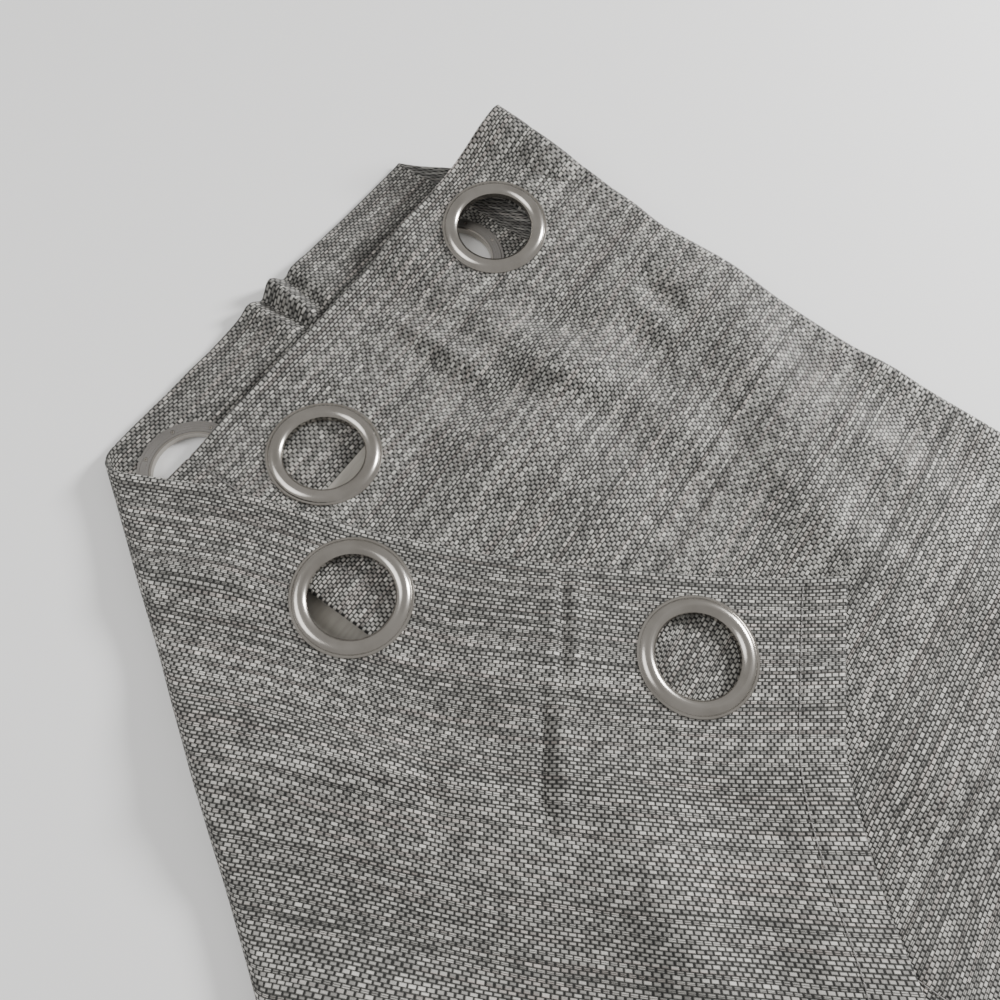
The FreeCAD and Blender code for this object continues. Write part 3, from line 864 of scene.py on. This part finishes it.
crease_end = CREASE_Y / crease_slope
band_width = PANEL_WIDTH - CREASE_Y + BAND_SLANT
left_hem_length = PANEL_LENGTH - crease_end + HEM_SLANT
below_header = PANEL_LENGTH - HEADER_DEPTH
lining_length = below_header - BOTTOM_HEM
flap_below_header = crease_end - HEADER_DEPTH
pile_nodes = ["length_" + kind + "_" + str(k) for kind in ("fold", "bend") for k in range(1, 5)]
base_nodes = ["base_run_face", "base_far_face", "side_fold"]
front_nodes = ["front_run_face", "front_corner_face", "front_far_face"]

# Each layer: its name, material and slot, the offset of its back (None for the face), the flat
# size that it was cut to, its cells, and the CAD nodes that it stands for.
curtain_layers = [
    ("face", face_cloth, "face_cloth", None, metres(PANEL_WIDTH, PANEL_LENGTH),
     everywhere, base_nodes + front_nodes + pile_nodes),
    ("header_band", band_cloth, "header_band", BAND_BACK, metres(band_width, HEADER_DEPTH),
     header, ["base_header_band", "front_header_band"]),
    ("lining", lining, "lining", LINING_BACK, metres(PANEL_WIDTH - 2 * SIDE_HEM, lining_length),
     inner, ["base_run_lining", "front_run_lining"]),
    ("left_hem", face_cloth, "face_cloth", LINING_BACK, metres(SIDE_HEM, left_hem_length),
     left_hem, ["base_side_hem"]),
    ("right_hem", face_cloth, "face_cloth", LINING_BACK, metres(SIDE_HEM, below_header),
     right_hem, ["front_side_hem"]),
    ("bottom_hem", face_cloth, "face_cloth", LINING_BACK, metres(PANEL_WIDTH, BOTTOM_HEM),
     bottom_hem, ["bottom_hem"]),
]
flap_layers = [
    ("cloth", face_cloth, "face_cloth", None, metres(CREASE_Y, crease_end),
     everywhere, ["flap_face", "flap_fold"]),
    ("band", band_cloth, "header_band", BAND_BACK, metres(CREASE_Y, HEADER_DEPTH),
     header, ["flap_header_band"]),
    ("reverse", lining, "lining", LINING_BACK, metres(CREASE_Y - SIDE_HEM, flap_below_header),
     inner, ["flap_lining"]),
    ("hem", face_cloth, "face_cloth", LINING_BACK, metres(SIDE_HEM, flap_below_header),
     left_hem, ["flap_side_hem"]),
]

u, v = run_grid()
runs = make_cloth(run_points, u, v, [("base", u < ROLL_START), ("front", u > ROLL_END)])
sew(runs, "curtain_", curtain_layers, lambda piece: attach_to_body(piece, "root"))

u, v = flap_grid()
flap = make_cloth(flap_points, u, v, [("flap", u < FLAP_U)])
sew(flap, "flap_", flap_layers, flap_blend)

flap_seam = stitches("flap_hem_stitches", flap_points, HEM_STITCH, 4.0, crease_end - 70.0, sewing)
flap_blend(flap_seam)
front_seam = stitches("front_hem_stitches", run_points, PANEL_WIDTH - HEM_STITCH, 4.0, 590.0, sewing)
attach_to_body(front_seam, "root")

for number in range(1, 7):
    front = brushed_metal("ring_metal_" + str(number), number, *FRONT_METAL)
    back = brushed_metal("ring_back_metal_" + str(number), number, *BACK_METAL)
    frame["nodes"]["ring_front_" + str(number)].data.materials[0] = front
    frame["nodes"]["ring_back_" + str(number)].data.materials[0] = back

# ---- floor, light and camera ----

CAMERA_AT = Vector((-0.2195, -0.014, 0.426))
CAMERA_DOWN = math.radians(67.123)
CAMERA_ROLL = math.radians(-8.185)
CAMERA_HEADING = Vector((-0.4664, 0.8846, 0.0))
CAMERA_LENS = 32.54
SENSOR = 36.0
FLOOR_HALF = 3000.0


def make_floor():
    """A pale level floor, with its middle under the object."""
    corners = np.array([(-1.0, -1.0, 0.0), (1.0, -1.0, 0.0), (1.0, 1.0, 0.0), (-1.0, 1.0, 0.0)])
    floor = mesh_piece("stage_floor", CENTRE + corners * FLOOR_HALF, [(0, 1, 2, 3)], floor_paint())


def make_camera():
    """A camera looking steeply down along its heading, and turned a little about its view."""
    level = Vector((CAMERA_HEADING.y, -CAMERA_HEADING.x, 0.0))
    up = Vector((0.0, 0.0, 1.0))
    ahead = math.cos(CAMERA_DOWN) * CAMERA_HEADING - math.sin(CAMERA_DOWN) * up
    below = -math.sin(CAMERA_DOWN) * CAMERA_HEADING - math.cos(CAMERA_DOWN) * up
    right = math.cos(CAMERA_ROLL) * level + math.sin(CAMERA_ROLL) * below
    top = math.sin(CAMERA_ROLL) * level - math.cos(CAMERA_ROLL) * below
    data = bpy.data.cameras.new("camera")
    data.sensor_width = SENSOR
    data.lens = CAMERA_LENS
    data.clip_start = 0.01
    camera = bpy.data.objects.new("camera", data)
    turn = Matrix((right, top, -ahead)).transposed()
    camera.matrix_world = Matrix.Translation(CAMERA_AT) @ turn.to_4x4()
    bpy.context.scene.collection.objects.link(camera)
    bpy.context.scene.camera = camera


def soft_light(name, place, size, energy, target=(-0.15, 0.05, 0.0)):
    """A round area light that faces the rings."""
    data = bpy.data.lights.new(name, "AREA")
    data.shape = "DISK"
    data.size = size
    data.energy = energy
    light = bpy.data.objects.new(name, data)
    light.location = place
    light.rotation_euler = (Vector(target) - Vector(place)).to_track_quat("-Z", "Y").to_euler()
    bpy.context.scene.collection.objects.link(light)


def make_world(strength):
    """Even, slightly warm light from all round."""
    world = bpy.data.worlds.new("soft_studio")
    world.use_nodes = True
    world.node_tree.nodes["Background"].inputs[0].default_value = (1.0, 0.985, 0.965, 1.0)
    world.node_tree.nodes["Background"].inputs[1].default_value = strength
    bpy.context.scene.world = world


make_floor()
make_camera()
make_world(0.5)
soft_light("key", (0.35, 1.3, 0.66), 0.4, 36.0)
soft_light("fill", (-1.0, -0.5, 1.1), 1.0, 9.0)
